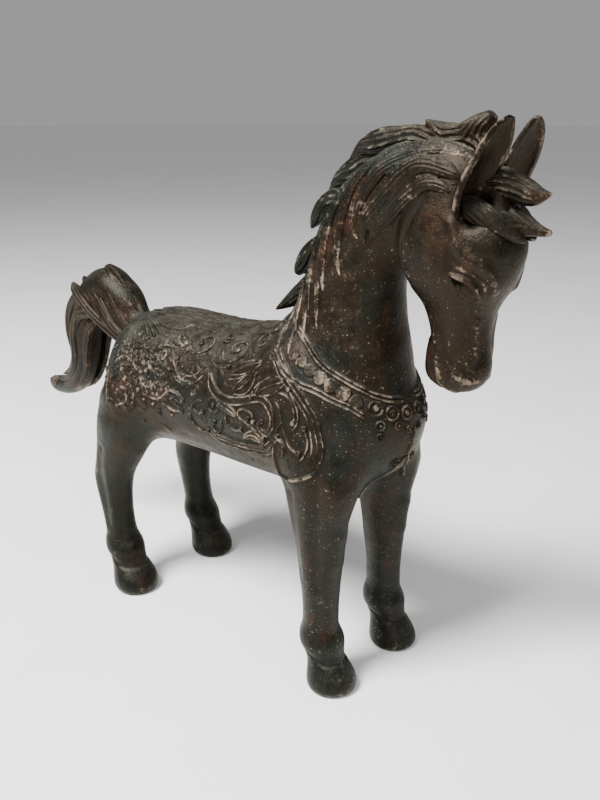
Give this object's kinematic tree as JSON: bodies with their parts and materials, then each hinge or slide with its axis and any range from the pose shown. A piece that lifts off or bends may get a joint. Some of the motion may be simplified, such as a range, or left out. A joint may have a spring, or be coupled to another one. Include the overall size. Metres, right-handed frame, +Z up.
{
  "type": "bronze horse statuette",
  "caption": "Standing ornamental cast-bronze horse with flowing mane, raised tail, breast collar and scrolled saddle cloth relief; stands free on its hooves.",
  "frame": {"origin": "on the ground plane under the middle of the statuette's bounding box, between the fore and hind hooves", "axes": "+X the way the horse faces, +Y to the horse's left, +Z up"},
  "size_m": [0.2789, 0.07, 0.212],
  "materials": {
    "patinated_bronze": "dark brown-black patina, satin, reddish where handled",
    "mane_bronze": "dark greenish-brown patina in the combed hair, lighter on the edges",
    "worn_relief": "patina rubbed through to pinkish bronze on the raised edges"
  },
  "bodies": {
    "root": {"barrel_shell": "patinated_bronze", "neck_shell": "patinated_bronze", "head": "patinated_bronze", "ear_right": "patinated_bronze", "ear_left": "patinated_bronze", "forelock": "mane_bronze", "mane_crest": "mane_bronze", "mane_strands_right": "mane_bronze", "mane_strands_left": "mane_bronze", "foreleg_right": "patinated_bronze", "foreleg_left": "patinated_bronze", "hindleg_right": "patinated_bronze", "hindleg_left": "patinated_bronze", "tail": "patinated_bronze", "breast_collar": "worn_relief", "collar_bosses": "worn_relief", "collar_drops": "worn_relief", "saddle_border_right": "worn_relief", "saddle_border_left": "worn_relief", "saddle_scrolls_right": "worn_relief", "saddle_scrolls_left": "worn_relief", "saddle_leaves_right": "worn_relief", "saddle_leaves_left": "worn_relief", "rump_scrolls_right": "worn_relief", "rump_scrolls_left": "worn_relief", "croup_fan_right": "worn_relief", "croup_fan_left": "worn_relief"}
  },
  "joints": []
}
